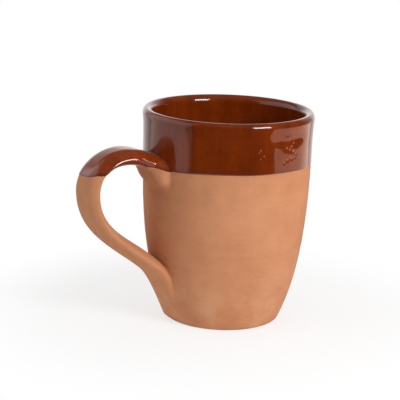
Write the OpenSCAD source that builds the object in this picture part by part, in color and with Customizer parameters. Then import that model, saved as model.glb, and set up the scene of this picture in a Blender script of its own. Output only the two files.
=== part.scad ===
// Thrown clay mug with a pulled strap handle, bare outside and dipped in glaze at the rim.
// Millimetres. The mug stands on z = 0 with its axis on Z, and the handle points along -X.

/* [Body] */
// Height of the clay from the standing plane to the crest of the lip
clay_height = 99.6; // [88:0.2:112]
// Radius of the flat face that the mug stands on
foot_flat_radius = 25.5; // [22:0.25:28]
// Radius of the rounded edge round the foot
foot_edge = 2.25; // [1:0.25:4]
// Lean of the wall at the foot, outwards from upright, in degrees
foot_lean = 24; // [16:1:30]
// Length over which the belly keeps the lean of the foot
foot_pull = 21; // [12:0.5:26]
// Outer radius at the shoulder, where the belly has turned upright
shoulder_radius = 39.3; // [36:0.1:43]
// Depth of the shoulder below the crest of the lip
shoulder_drop = 24; // [18:0.5:32]
// Length over which the belly stays upright below the shoulder
belly_pull = 29.5; // [20:0.5:36]
// Outer radius of the wall just under the lip
rim_radius = 39.9; // [37:0.1:44]
// Lean of the wall at the rim, outwards from upright, in degrees
rim_lean = 6; // [0:1:12]
// Thickness of the wall at the shoulder
wall = 4.4; // [3:0.1:6]
// Thickness of the floor
floor_thickness = 6; // [4:0.25:9]
// Width of the ring between the flat of the floor inside and the flat of the foot
floor_inset = 13.5; // [8:0.5:18]
// Length over which the inside of the bowl stays level at the floor
bowl_pull = 18; // [10:0.5:20]
// Length over which the inside of the bowl stays upright below the shoulder
bowl_rise = 45; // [35:0.5:50]
// Width of the lip
lip_width = 4; // [3:0.1:5.5]
// Height of the rounded part of the lip
lip_height = 3; // [2:0.1:4.5]

/* [Strap handle] */
// Drop of the middle of the upper joint below the crest of the lip
pad_drop = 26.6; // [22:0.2:34]
// Length of strap pressed into the wall at the upper joint
pad_sunk = 5; // [3:0.25:8]
// Rise of the strap where it leaves the upper joint, in degrees
pad_rise = 30; // [10:1:45]
// Width of the flared end at the upper joint
pad_width = 28.8; // [22:0.2:32]
// Depth of the flared end above its middle
pad_top = 5; // [4:0.1:6.5]
// Depth of the flared end below its middle
pad_under = 7.6; // [5:0.1:9]
// Reach of the strap's crown from the shoulder
crown_reach = 14.8; // [11:0.2:19]
// Drop of the strap's crown below the crest of the lip
crown_drop = 18.4; // [14:0.2:22]
// Width of the strap at its crown
crown_width = 15.2; // [12:0.2:19]
// Thickness of the strap at its crown
crown_thickness = 7.8; // [6:0.1:10]
// Reach of the strap's back from the shoulder
back_reach = 31.8; // [27:0.2:37]
// Drop of the strap's back below the crest of the lip
back_drop = 33.7; // [29:0.2:40]
// Width of the strap at its back
back_width = 18.8; // [14:0.2:23]
// Thickness of the strap at its back
back_thickness = 8.1; // [6:0.1:10]
// Reach of the strap's knee from the wall beside it
knee_reach = 8.2; // [6:0.2:11]
// Height of the strap's knee above the standing plane
knee_height = 32.6; // [28:0.2:38]
// Fall of the strap at its knee, in degrees below level
knee_fall = 37; // [25:1:48]
// Width of the strap at its knee
knee_width = 26.4; // [20:0.2:29]
// Thickness of the strap at its knee
knee_thickness = 8.2; // [6:0.1:10]
// Height of the tip of the tail above the standing plane
tail_height = 4; // [3:0.2:9]
// Depth that the tip of the tail is smeared into the wall
tail_sunk = 3.3; // [2:0.1:3.8]
// Width of the tail at its tip
tail_width = 13; // [9:0.2:18]
// Thickness of the tail at its tip
tail_thickness = 7.8; // [6:0.1:9]

/* [Coats] */
// Thickness of the glaze
glaze = 0.4; // [0.2:0.05:0.8]
// Depth that the rim was dipped into the glaze, below the crest of the lip
dip_depth = 23.6; // [19:0.2:28]
// Thickness of the slip that joins the handle to the wall
slip = 0.4; // [0.2:0.05:0.8]

/* [Hidden] */

clay_colour = "#c07a55";
slip_colour = "#b87350";
glaze_colour = "#7a3214";

// Number of steps along each curve of the wall, of the lip and of the strap
wall_steps = 14;
lip_steps = 5;
strap_steps = 9;
// Number of sides of the strap's section, and of every turned piece
strap_sides = 24;
turned_sides = 128;
// Pulls of the curves as shares of their spans: a quarter circle's, and those of the neck and the strap
round_pull = 0.5523;
neck_pull = 0.33;
arch_pull = 0.38;
back_pull = 0.41;
knee_pull_in = 0.35;
knee_pull_out = 0.18;
tail_pull = 0.46;
// How late the strap flares into its upper joint
flare_power = 2.2;
// Squareness of the strap's section at its five stations, where 2 is an ellipse
section_power = [3, 2, 2, 2.2, 2];
dip_height = clay_height - dip_depth;

// Curves

function mix(a, b, t) = a + (b - a) * t;
function bezier(c, t) = let (s = 1 - t)
    s * s * s * c[0] + 3 * s * s * t * c[1] + 3 * s * t * t * c[2] + t * t * t * c[3];
function bezier_heading(c, t) = let (s = 1 - t)
    unit(s * s * (c[1] - c[0]) + 2 * s * t * (c[2] - c[1]) + t * t * (c[3] - c[2]));
function unit(v) = v / norm(v);
function upright(lean) = [sin(lean), cos(lean)];
// The curve's points after its first one, so that curves can be chained
function onward(c, steps) = [for (i = [1:steps]) bezier(c, i / steps)];
function reversed(line) = [for (i = [len(line) - 1:-1:0]) line[i]];

// Each point of a line moved to its left by a distance
function moved_left(line, distance) = [for (i = [0:len(line) - 1])
    let (d = unit(line[min(i + 1, len(line) - 1)] - line[max(i - 1, 0)]))
    line[i] + distance * [-d[1], d[0]]];
// The part of a rising line above a height
function above(line, height) = concat(
    [for (i = [0:len(line) - 2]) if (line[i][1] < height && line[i + 1][1] >= height)
        mix(line[i], line[i + 1], (height - line[i][1]) / (line[i + 1][1] - line[i][1]))],
    [for (p = line) if (p[1] > height) p]);

// The wall's outline, outside from the foot to the crest of the lip

shoulder_height = clay_height - shoulder_drop;
rim_height = clay_height - lip_height;
shoulder = [shoulder_radius, shoulder_height];
rim = [rim_radius, rim_height];
crest = [rim_radius - lip_width / 2, clay_height];
neck_rise = neck_pull * (rim_height - shoulder_height);
foot_arc = [for (i = [0:lip_steps]) let (a = (90 - foot_lean) * i / lip_steps)
    [foot_flat_radius, foot_edge] + foot_edge * [sin(a), -cos(a)]];
wall_start = foot_arc[lip_steps];
belly_curve = [wall_start, wall_start + foot_pull * upright(foot_lean), shoulder - [0, belly_pull], shoulder];
neck_curve = [shoulder, shoulder + [0, neck_rise], rim - neck_rise * upright(rim_lean), rim];
lip_curve = [rim, rim + round_pull * lip_height * upright(rim_lean), crest + [round_pull * lip_width / 2, 0], crest];
outer_line = concat(foot_arc, onward(belly_curve, wall_steps), onward(neck_curve, lip_steps),
                    onward(lip_curve, lip_steps));

// The wall's outline, inside from the crest of the lip to the middle of the floor

rim_inside = [rim_radius - lip_width, rim_height];
shoulder_inside = [shoulder_radius - wall, shoulder_height];
floor_edge = [foot_flat_radius - floor_inset, floor_thickness];
lip_inside_curve = [crest, crest - [round_pull * lip_width / 2, 0], rim_inside + [0, round_pull * lip_height],
                    rim_inside];
neck_inside_curve = [rim_inside, rim_inside - [0, neck_rise], shoulder_inside + [0, neck_rise], shoulder_inside];
bowl_curve = [shoulder_inside, shoulder_inside - [0, bowl_rise], floor_edge + [bowl_pull, 0], floor_edge];
inner_line = concat(onward(lip_inside_curve, lip_steps), onward(neck_inside_curve, lip_steps),
                    onward(bowl_curve, wall_steps), [[0, floor_thickness]]);

// The whole outline with a coat on it, and its stretches outside and inside, which share the crest
function coated(coat) = moved_left(concat(outer_line, inner_line), -coat);
function outside(line) = [for (i = [0:len(outer_line) - 1]) line[i]];
function inside(line) = [for (i = [len(outer_line) - 1:len(line) - 1]) line[i]];

// Outer radius of the wall at a height
outer_table = [for (p = outer_line) [p[1], p[0]]];
function wall_radius(height) = lookup(height, outer_table);

// The strap's path from the upper joint over the crown, down the back and past the knee to the tail,
// as distances from the axis and heights

pad_height = clay_height - pad_drop;
pad = [wall_radius(pad_height) - pad_sunk, pad_height];
crown = [shoulder_radius + crown_reach, clay_height - crown_drop];
back = [shoulder_radius + back_reach, clay_height - back_drop];
knee = [wall_radius(knee_height) + knee_reach, knee_height];
tail = [wall_radius(tail_height) - tail_sunk, tail_height];
pad_heading = [cos(pad_rise), sin(pad_rise)];
knee_heading = [-cos(knee_fall), -sin(knee_fall)];
// The tail runs down along the wall
tail_step = foot_edge / 2;
tail_heading = unit([wall_radius(tail_height) - wall_radius(tail_height + tail_step), -tail_step]);
arch_span = norm(crown - pad);
drop_span = norm(knee - back);
tail_span = norm(tail - knee);
strap_curves = [
    [pad, pad + arch_pull * arch_span * pad_heading, crown - [arch_pull * arch_span, 0], crown],
    [crown, crown + [round_pull * (back[0] - crown[0]), 0], back + [0, round_pull * (crown[1] - back[1])], back],
    [back, back - [0, back_pull * drop_span], knee - knee_pull_in * drop_span * knee_heading, knee],
    [knee, knee + knee_pull_out * tail_span * knee_heading, tail - tail_pull * tail_span * tail_heading, tail]
];

// The strap's half sizes at the five stations: away from the finger gap, towards it, and across
half_out = [pad_top, crown_thickness / 2, back_thickness / 2, knee_thickness / 2, tail_thickness / 2];
half_in = [pad_under, crown_thickness / 2, back_thickness / 2, knee_thickness / 2, tail_thickness / 2];
half_across = [pad_width, crown_width, back_width, knee_width, tail_width] / 2;

// A size between stations: a late flare next to the upper joint, and a smooth step elsewhere
function at_station(sizes, u) = let (i = min(floor(u), len(sizes) - 2), f = u - i)
    mix(sizes[i], sizes[i + 1], i == 0 ? 1 - pow(1 - f, flare_power) : f * f * (3 - 2 * f));
function squared(v, power) = sign(v) * pow(abs(v), 2 / power);

// One section of the strap at station u, grown by a coat
function strap_ring(u, coat) = let (
    i = min(floor(u), len(strap_curves) - 1),
    middle = bezier(strap_curves[i], u - i),
    along = bezier_heading(strap_curves[i], u - i),
    away = [-along[1], along[0]],
    power = at_station(section_power, u),
    out = at_station(half_out, u) + coat,
    in = at_station(half_in, u) + coat,
    across = at_station(half_across, u) + coat)
    [for (j = [0:strap_sides - 1]) let (
        angle = 360 * j / strap_sides,
        c = squared(cos(angle), power),
        p = middle + away * c * (c > 0 ? out : in))
        [-p[0], across * squared(sin(angle), power), p[1]]];

// The strap between two stations as one closed skin
module strap(first, last, coat = 0) {
    rings = (last - first) * strap_steps;
    points = [for (i = [0:rings]) each strap_ring(first + i / strap_steps, coat)];
    sides = [for (i = [0:rings - 1], j = [0:strap_sides - 1]) let (
        a = i * strap_sides + j,
        b = i * strap_sides + (j + 1) % strap_sides)
        each [[a, b + strap_sides, b], [a, a + strap_sides, b + strap_sides]]];
    start_cap = [for (j = [0:strap_sides - 1]) j];
    end_cap = [for (j = [strap_sides - 1:-1:0]) rings * strap_sides + j];
    polyhedron(points, concat([start_cap], sides, [end_cap]), convexity = 6);
}

module turned(outline) {
    rotate_extrude($fn = turned_sides) polygon(outline);
}

// Everything inside the outer wall, grown by a coat
module filled_wall(coat) {
    line = outside(coated(coat));
    turned(concat([[0, line[0][1]]], line, [[0, line[len(line) - 1][1]]]));
}

// A coat on the outside of the wall, above a height
module wall_coat(coat, height) {
    turned(concat(above(outer_line, height), reversed(above(outside(coated(coat)), height))));
}

// Sub-parts

module clay_body() {
    color(clay_colour)
        turned(concat([[0, 0]], outer_line, inner_line));
}

module handle() {
    color(clay_colour) difference() {
        strap(0, 4);
        filled_wall(slip);
    }
}

module upper_joint_slip() {
    color(slip_colour) intersection() {
        strap(0, 1);
        wall_coat(slip, foot_edge);
    }
}

module lower_joint_slip() {
    color(slip_colour) intersection() {
        strap(3, 4);
        wall_coat(slip, foot_edge);
    }
}

module glaze_lining() {
    color(glaze_colour)
        turned(concat(inside(coated(0)), reversed(inside(coated(glaze)))));
}

module glaze_band() {
    color(glaze_colour) difference() {
        wall_coat(glaze, dip_height);
        strap(0, 1);
    }
}

module handle_glaze() {
    reach = back[0] + back_thickness;
    color(glaze_colour) intersection() {
        difference() {
            strap(0, 2, glaze);
            strap(0, 2);
            filled_wall(glaze);
        }
        translate([-reach, -reach, dip_height]) cube([2 * reach, 2 * reach, dip_depth]);
    }
}

clay_body();
handle();
upper_joint_slip();
lower_joint_slip();
glaze_lining();
glaze_band();
handle_glaze();
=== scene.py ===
# %% [markdown]
# # A thrown clay mug with a dipped rim
#
# A mug like this is thrown from red clay on a wheel, gets a pulled strap as its handle, is fired, lined
# with glaze, dipped rim first and fired again. This lesson follows those steps. The solids of the frame
# give the sizes, and each gets a finer skin, worked out with numpy on a grid.

# %% Load the frame
import math
import bpy
import numpy as np
from mathutils import Matrix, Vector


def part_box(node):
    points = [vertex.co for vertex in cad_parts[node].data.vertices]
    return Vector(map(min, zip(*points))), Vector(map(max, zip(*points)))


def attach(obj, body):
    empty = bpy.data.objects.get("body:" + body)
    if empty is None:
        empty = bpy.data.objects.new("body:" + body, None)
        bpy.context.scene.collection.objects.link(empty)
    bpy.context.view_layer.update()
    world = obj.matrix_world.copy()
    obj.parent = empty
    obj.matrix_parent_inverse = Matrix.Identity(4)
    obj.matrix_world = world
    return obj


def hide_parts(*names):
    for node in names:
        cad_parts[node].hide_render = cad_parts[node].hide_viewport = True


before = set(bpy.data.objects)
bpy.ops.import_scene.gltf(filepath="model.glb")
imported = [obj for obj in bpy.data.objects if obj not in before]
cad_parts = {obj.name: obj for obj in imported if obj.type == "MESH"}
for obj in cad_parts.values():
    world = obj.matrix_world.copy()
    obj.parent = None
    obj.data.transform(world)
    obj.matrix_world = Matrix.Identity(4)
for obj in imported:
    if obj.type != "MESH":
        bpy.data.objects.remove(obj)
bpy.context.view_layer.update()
MM = 0.001
print("nodes of the frame:", ", ".join(sorted(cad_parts)))

# %% [markdown]
# ## The sizes
#
# The big sizes could be typed in again, but then the skins would not follow the solids. So they are read
# off the boxes of the nodes, with the rim a hair inside its solid. From here on, shapes are in millimetres
# and become metres in the mesh.

# %% Read the driving sizes off the frame
HAIR = 0.03


def node_box(node):
    """The lowest and the highest corner of a node, in millimetres."""
    low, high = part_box(node)
    return np.array(low) / MM, np.array(high) / MM


CLAY_HEIGHT = node_box("clay_body")[1][2]
GLAZE = node_box("glaze_lining")[1][2] - CLAY_HEIGHT
RIM_RADIUS = node_box("glaze_band")[1][1] - GLAZE - HAIR
DIP_HEIGHT = node_box("glaze_band")[0][2]
HANDLE_REACH = -node_box("handle")[0][0]
print(f"clay {CLAY_HEIGHT:.2f} high, glaze {GLAZE:.2f}, rim {RIM_RADIUS:.2f}, "
      f"dip at {DIP_HEIGHT:.2f}, handle out to {HANDLE_REACH:.2f}")

# %% [markdown]
# ## The outline of the wall
#
# A thrown pot is round, so one outline says almost everything: up the outside, over the lip and down the
# inside to the middle of the floor. It could be a curve object that is spun. Here it stays a set of
# numbers, because the glaze needs to know how far along it is and which way the surface faces there. Cubic
# curves lead from the foot's rounded edge to the flat floor.

# %% Draw the outline
OUTLINE_STEPS = 120
FOOT_FLAT = 25.5
FOOT_EDGE = 2.25
FOOT_LEAN = 24.0
FOOT_PULL = 21.0
SHOULDER_RADIUS = 39.3
SHOULDER_DROP = 24.0
SHOULDER = np.array([SHOULDER_RADIUS, CLAY_HEIGHT - SHOULDER_DROP])
BELLY_PULL = 29.5
RIM_LEAN = 6.0
LIP_WIDTH = 4.2
LIP_DROP = 2.4
LIP_EDGE = 1.4
LIP_LAND = 2.2
LIP_FALL = 3.2
LIP_TURN = 1.4
WALL = 4.4
FLOOR = 6.0
FLOOR_FLAT = 12.0
BOWL_PULL = 18.0
BOWL_RISE = 45.0
NECK_PULL = 0.33
ROUND_PULL = 0.5523


def bezier(ends, t):
    """A cubic curve: its four points weighted by (1-t)^3, 3t(1-t)^2, 3t^2(1-t) and t^3."""
    a, b, c, d = (np.asarray(point, float) for point in ends)
    t = np.asarray(t, float)[..., None]
    s = 1 - t
    return s**3 * a + 3 * s**2 * t * b + 3 * s * t**2 * c + t**3 * d


def quadratic(start, pull, end, t):
    """A curve with one pull: its three points weighted by (1-t)^2, 2t(1-t) and t^2."""
    t = np.asarray(t, float)[..., None]
    return (1 - t) ** 2 * start + 2 * t * (1 - t) * pull + t**2 * end


def leaning(degrees):
    """The direction that leans outwards from upright by an angle, as radius and height."""
    return np.array([math.sin(math.radians(degrees)), math.cos(math.radians(degrees))])


def wall_outline(steps):
    """The foot's rounded edge as an arc, then six cubic curves and the flat floor, end to end.

    Gives the points as radius and height, and the index of the crest of the lip.
    """
    across = np.array([1.0, 0.0])
    up = np.array([0.0, 1.0])
    t = np.linspace(0, 1, steps + 1)[1:]
    turn = np.radians(np.linspace(0, 90 - FOOT_LEAN, steps))
    edge = np.array([FOOT_FLAT, FOOT_EDGE]) + FOOT_EDGE * np.stack([np.sin(turn), -np.cos(turn)], -1)
    rim = np.array([RIM_RADIUS, CLAY_HEIGHT - LIP_DROP])
    crest = np.array([RIM_RADIUS - LIP_EDGE, CLAY_HEIGHT])
    rise = NECK_PULL * (rim - SHOULDER)[1]
    rim_inside = np.array([RIM_RADIUS - LIP_WIDTH, CLAY_HEIGHT - LIP_FALL])
    shoulder_inside = SHOULDER - WALL * across
    floor_edge = np.array([FLOOR_FLAT, FLOOR])
    lip_up = ROUND_PULL * LIP_DROP * leaning(RIM_LEAN)
    curves = [
        (edge[-1], edge[-1] + FOOT_PULL * leaning(FOOT_LEAN), SHOULDER - BELLY_PULL * up, SHOULDER),
        (SHOULDER, SHOULDER + rise * up, rim - rise * leaning(RIM_LEAN), rim),
        (rim, rim + lip_up, crest + ROUND_PULL * LIP_EDGE * across, crest),
        (crest, crest - LIP_LAND * across, rim_inside + LIP_TURN * up, rim_inside),
        (rim_inside, rim_inside - rise * up, shoulder_inside + rise * up, shoulder_inside),
        (shoulder_inside, shoulder_inside - BOWL_RISE * up, floor_edge + BOWL_PULL * across, floor_edge),
    ]
    floor = floor_edge - FLOOR_FLAT * t[:, None] * across
    outside = [edge] + [bezier(curve, t) for curve in curves[:3]]
    inside = [bezier(curve, t) for curve in curves[3:]] + [floor]
    return np.concatenate(outside + inside), sum(len(part) for part in outside) - 1


OUTLINE, CREST = wall_outline(OUTLINE_STEPS)
LENGTH = np.concatenate([[0], np.cumsum(np.linalg.norm(np.diff(OUTLINE, axis=0), axis=1))])
HEADING = np.gradient(OUTLINE, LENGTH, axis=0)
FACING = np.stack([HEADING[:, 1], -HEADING[:, 0]], -1) / np.linalg.norm(HEADING, axis=1, keepdims=True)
CREST_LENGTH = LENGTH[CREST]
print(f"outline of {len(OUTLINE)} points, {LENGTH[-1]:.1f} long, crest at {CREST_LENGTH:.1f}")

# %% [markdown]
# ## From outline to turned surface
#
# A turned surface has two parameters: how far along the outline, and how far round the axis. A third
# number, the lift, moves a point straight out of the surface, which adds ripples and coats of glaze.
# Unevenness comes from a few waves with whole numbers of turns, so that they close on themselves.

# %% Turn the outline round the axis
def on_outline(values, length):
    """A value of the outline at lengths along it, in proportion between the outline's points."""
    return np.interp(length, LENGTH, values)


def round_axis(radius, turn, height):
    """Points at a radius, a turn and a height: the radius times cosine and sine, and the height."""
    return np.stack(np.broadcast_arrays(radius * np.cos(turn), radius * np.sin(turn), height), -1)


def turned(length, turn, lift):
    """The outline's point at a length, moved out by the lift along its facing, then turned round the axis."""
    radius = on_outline(OUTLINE[:, 0], length) + lift * on_outline(FACING[:, 0], length)
    height = on_outline(OUTLINE[:, 1], length) + lift * on_outline(FACING[:, 1], length)
    return round_axis(radius, turn, height)


def wall_radius(height):
    """Radius of the outside of the wall at a height."""
    return np.interp(height, OUTLINE[:CREST, 1], OUTLINE[:CREST, 0])


def length_at(height):
    """Length along the outside of the wall at a height."""
    return np.interp(height, OUTLINE[:CREST, 1], LENGTH[:CREST])


def waves(turn, height, depth, seed, turns, wavelength, count=6):
    """A depth times a sum of cosines with seeded phases, which is near -1 to 1.

    Each has a whole number of turns round, up to the given one, and at least the wavelength up.
    """
    draw = np.random.default_rng(seed)
    total = 0
    for _ in range(count):
        times = draw.integers(-turns, turns + 1)
        pitch = draw.uniform(-1, 1) * 2 * math.pi / wavelength
        total = total + np.cos(times * turn + pitch * height + draw.uniform(0, 2 * math.pi))
    return depth * (total / math.sqrt(2 * count))


def gathered(value, low, high):
    """A smooth step from 0 at low to 1 at high: 3s^2 - 2s^3 of the share s of the way."""
    s = np.clip((value - low) / (high - low), 0, 1)
    return s * s * (3 - 2 * s)


def eased(share, ease):
    """Shares that crowd towards 0 and 1: even ones mixed with their smooth step, ease being its part."""
    return (1 - ease) * share + ease * share**2 * (3 - 2 * share)


print(f"the wall is {2 * wall_radius(DIP_HEIGHT):.1f} across at the dip line")

# %% [markdown]
# ## From grid to mesh
#
# Every piece is a grid of points that closes round its columns. Its rows close too, like a ring, or end in
# a point at both ends, like a ball. One function makes both, and turns the faces round if they enclose a
# negative volume. Each corner's facing is worked out from the grid and given to the mesh, so two pieces
# that meet on one surface show no seam.

# %% Make a closed skin from a grid
TINY = 1e-12


def unit(vectors):
    """Vectors divided by their lengths, where these aren't next to nothing."""
    return vectors / np.maximum(np.linalg.norm(vectors, axis=-1, keepdims=True), TINY)


def facing_of(grid):
    """The grid's unit normals: the step round the columns crossed with the step along the rows."""
    along = np.gradient(grid, axis=0, edge_order=2)
    around = np.roll(grid, -1, axis=1) - np.roll(grid, 1, axis=1)
    return unit(np.cross(around, along))


def enclosed(points, faces):
    """The volume inside triangles: a sixth of the sum of each one's triple product."""
    a, b, c = (points[faces[:, corner]] for corner in range(3))
    return np.einsum("ij,ij->i", a, np.cross(b, c)).sum() / 6


def skin(name, blocks, poles=None, **values):
    """A closed mesh object from blocks of grid rows, each block a pair of points and normals.

    Without poles the last row joins the first one. With a pair of poles, a fan closes each end.
    Further named values are kept at the points, three numbers or one number each.
    """
    grid = np.concatenate([block[0] for block in blocks])
    normals = np.concatenate([block[1] for block in blocks]).reshape(-1, 3)
    rows, columns = grid.shape[:2]
    points = grid.reshape(-1, 3)
    index = np.arange(rows * columns).reshape(rows, columns)
    beside = np.roll(index, -1, axis=1)
    quads = np.stack([index, beside, np.roll(beside, -1, axis=0), np.roll(index, -1, axis=0)], -1)
    quads = (quads if poles is None else quads[:-1]).reshape(-1, 4)
    fans = np.zeros((0, 3), int)
    if poles is not None:
        first, last = len(points), len(points) + 1
        start = np.stack([np.full(columns, first), beside[0], index[0]], -1)
        end = np.stack([index[-1], beside[-1], np.full(columns, last)], -1)
        fans = np.concatenate([start, end])
        points = np.concatenate([points, np.asarray(poles, float)])
        middles = np.stack([normals[:columns].mean(axis=0), normals[-columns:].mean(axis=0)])
        normals = np.concatenate([normals, middles])
    if enclosed(points, np.concatenate([quads[:, :3], quads[:, [0, 2, 3]], fans])) < 0:
        quads = quads[:, ::-1]
        fans = fans[:, ::-1]
        normals = -normals
    mesh = bpy.data.meshes.new(name)
    mesh.vertices.add(len(points))
    mesh.vertices.foreach_set("co", (points * MM).ravel())
    mesh.loops.add(quads.size + fans.size)
    mesh.loops.foreach_set("vertex_index", np.concatenate([quads.ravel(), fans.ravel()]))
    mesh.polygons.add(len(quads) + len(fans))
    starts = np.concatenate([np.arange(len(quads)) * 4, quads.size + np.arange(len(fans)) * 3])
    mesh.polygons.foreach_set("loop_start", starts)
    mesh.update(calc_edges=True)
    mesh.shade_smooth()
    for key, value in values.items():
        on_grid = value.reshape(rows * columns, -1)
        at_poles = np.zeros((len(points) - len(on_grid), on_grid.shape[1]))
        kind, field = ("FLOAT_VECTOR", "vector") if on_grid.shape[1] == 3 else ("FLOAT", "value")
        kept = np.concatenate([on_grid, at_poles])
        mesh.attributes.new(key, kind, "POINT").data.foreach_set(field, kept.ravel())
    mesh.normals_split_custom_set_from_vertices(normals.tolist())
    piece = bpy.data.objects.new(name, mesh)
    bpy.context.scene.collection.objects.link(piece)
    print(f"{name}: {len(points)} points, {2 * len(quads) + len(fans)} triangles")
    return piece


def ring_of_turns(count):
    """Evenly spaced turns of a full circle, without the last one that would repeat the first."""
    return np.linspace(0, 2 * math.pi, count, endpoint=False)


# %% [markdown]
# ## The thrown body
#
# The bare clay shows faint rings where fingers ran up the wall, and the wall is never quite round. A
# displacement texture could give that, but only in the render. Here the rings are a lift of a few
# hundredths of a millimetre in the surface itself, which fades out at the foot. Under the glaze the clay
# lies deeper, so that no dent in the coat bares it.

# %% Throw the clay body
BODY_COLUMNS = 384
BODY_ROWS = (10, 96, 30, 10, 6, 8, 20, 4)
# Waves, here and later: depth, seed, most turns round, wavelength and, for some, the number of cosines
RINGS = (0.035, 3, 1, 3.1, 9)
SWAY = (0.12, 5, 3, 70.0)
FOOT_FADE = (2, 14)
CREST_CALM = 1
UNDER_GLAZE = 0.35
UNDER_FADE = (3, 7)
GROUND_ROWS = 6
GROUND_START = 4
GROUND_MARGIN = 1
GRAIN_ROUND = 2


def thrown_lift(turn, height):
    """Rings of a short wavelength up the wall plus a slow sway round it, both fading out at the foot."""
    return gathered(height, *FOOT_FADE) * (waves(turn, height, *RINGS) + waves(turn, height, *SWAY))


def spaced_rows(counts):
    """Lengths along the outline, with even steps of the given number in each of its stretches."""
    ends = [0] + [OUTLINE_STEPS * (stretch + 1) - 1 for stretch in range(len(counts))]
    parts = [np.linspace(LENGTH[first], LENGTH[last], count, endpoint=False)
             for first, last, count in zip(ends, ends[1:], counts)]
    return np.concatenate(parts)


body_turns = ring_of_turns(BODY_COLUMNS)[None, :]
body_rows = spaced_rows(BODY_ROWS)[:, None]
body_heights = on_outline(OUTLINE[:, 1], body_rows)
body_lift = thrown_lift(body_turns, body_heights) * (body_rows < CREST_LENGTH - CREST_CALM)
sinks_from, sunk_at = (length_at(DIP_HEIGHT + above) for above in UNDER_FADE)
body_lift = body_lift - UNDER_GLAZE * gathered(body_rows, sinks_from, sunk_at)
body_grid = turned(body_rows, body_turns, body_lift)
ground_radii = np.linspace(GROUND_START, FOOT_FLAT - GROUND_MARGIN, GROUND_ROWS)[:, None]
ground = round_axis(ground_radii, body_turns, 0)
ground_depths = -np.linspace(FOOT_FLAT, GROUND_MARGIN, GROUND_ROWS)[:, None]
body_grain = np.concatenate([round_axis(GRAIN_ROUND, body_turns, ground_depths),
                             round_axis(GRAIN_ROUND, body_turns, body_grid[..., 2])])
clay_body = skin("clay_body_thrown", [(ground, facing_of(ground)), (body_grid, facing_of(body_grid))],
                 [(0, 0, 0), (0, 0, FLOOR)], grain=body_grain)

# %% [markdown]
# ## The coat of glaze
#
# The glaze lines the inside, and runs over the lip and down the outside to a wandering line. A copy of the
# wall with a Solidify modifier would have a square step as its edge. Worked out on the outline, the coat
# swells to its full thickness over about a millimetre, as a wet edge does. The outside has shallow dents,
# and pinholes where bubbles burst in the kiln. Band and lining are one surface that is parted at the crest,
# so their facings agree there.

# %% Wander the dip line
COAT_COLUMNS = 720
SUNK = 0.12
EDGE_WIDTH = 0.9
# Each bump of the line: degrees round, rise, and width in radians
DIP_BUMPS = [(180, -0.8, 0.6), (-115, 0.7, 0.55), (-72, 0.7, 0.45)]
DIP_WAVES = (0.16, 11, 9, 1.0)


def turn_from(turn, degrees):
    """The turn from a place in degrees, the short way round, in radians."""
    return np.angle(np.exp(1j * (turn - math.radians(degrees))))


def dip_line(turn):
    """Height of the glaze's edge round the wall: lower at the handle, higher in front and at the right.

    Each bump is exp(-s^2) of the distance s from its place in widths. Small waves are added.
    """
    slow = sum(rise * np.exp(-((turn_from(turn, place) / width) ** 2)) for place, rise, width in DIP_BUMPS)
    return DIP_HEIGHT + slow + waves(turn, 0, *DIP_WAVES)


def edge_swell(distance, width):
    """Share of the full thickness at a distance from the edge: a quarter ellipse over the width."""
    s = np.clip(distance / width, 0, 1)
    return np.sqrt(np.maximum(1 - (1 - s) ** 2, 0))


coat_turns = ring_of_turns(COAT_COLUMNS)[None, :]
print(f"the dip line wanders from {dip_line(coat_turns).min():.2f} to {dip_line(coat_turns).max():.2f}")

# %% Dent the band
DENT_TURN = -75.0
# Each dent: degrees round, height, half width, half height and depth
DENTS = [
    (DENT_TURN - 9, 92.2, 7.5, 2.6, 0.30),
    (DENT_TURN + 6, 92.4, 7.0, 2.8, 0.28),
    (DENT_TURN - 1, 88.8, 4.5, 2.6, 0.14),
    (DENT_TURN - 2.5, 93.9, 2.6, 0.6, 0.2),
    (DENT_TURN - 20, 79.0, 5.0, 1.8, 0.08),
]
# Each cluster: degrees round, height, spread round, spread up and number of pinholes
PINHOLE_CLUSTERS = [(DENT_TURN + 1, 85.0, 2.2, 2.2, 12), (DENT_TURN - 21.5, 86.6, 2.4, 1.8, 4)]
PINHOLE_SEED = 21
PINHOLE_SIZE = 0.58
PINHOLE_RANGE = (0.7, 1.3)
PINHOLE_DEPTH = 0.11
BAND_SLOW = (0.03, 17, 9, 16.0)
BAND_FINE = (0.016, 19, 34, 7.5)
COAT_SPARE = 0.05


def bowl_at(turn, height, place_turn, place_height, half_width, half_height):
    """A smooth bowl: exp(-s^2) of the distance s from its middle, in half widths and half heights."""
    off = turn_from(turn, place_turn) * RIM_RADIUS / half_width
    return np.exp(-(off**2) - ((height - place_height) / half_height) ** 2)


def pinholes(turn, height):
    """Small bowls scattered by a seeded normal draw round the middle of each cluster."""
    draw = np.random.default_rng(PINHOLE_SEED)
    total = 0
    for place_turn, place_height, spread, rise, count in PINHOLE_CLUSTERS:
        for _ in range(count):
            spot_turn = place_turn + math.degrees(draw.normal(0, spread) / RIM_RADIUS)
            spot_height = place_height + draw.normal(0, rise)
            size = PINHOLE_SIZE * draw.uniform(*PINHOLE_RANGE)
            total = total + bowl_at(turn, height, spot_turn, spot_height, size, size)
    return np.minimum(total, 1)


def band_lift(turn, height, distance):
    """Thickness of the glaze outside: an uneven coat less dents and pinholes, times the swell at its edge."""
    dents = sum(depth * bowl_at(turn, height, *place) for *place, depth in DENTS)
    uneven = waves(turn, height, *BAND_SLOW) + waves(turn, height, *BAND_FINE)
    thick = GLAZE - COAT_SPARE + uneven - dents - PINHOLE_DEPTH * pinholes(turn, height)
    return edge_swell(distance, EDGE_WIDTH) * thick


print(f"{len(DENTS)} dents and {sum(cluster[-1] for cluster in PINHOLE_CLUSTERS)} pinholes")

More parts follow.
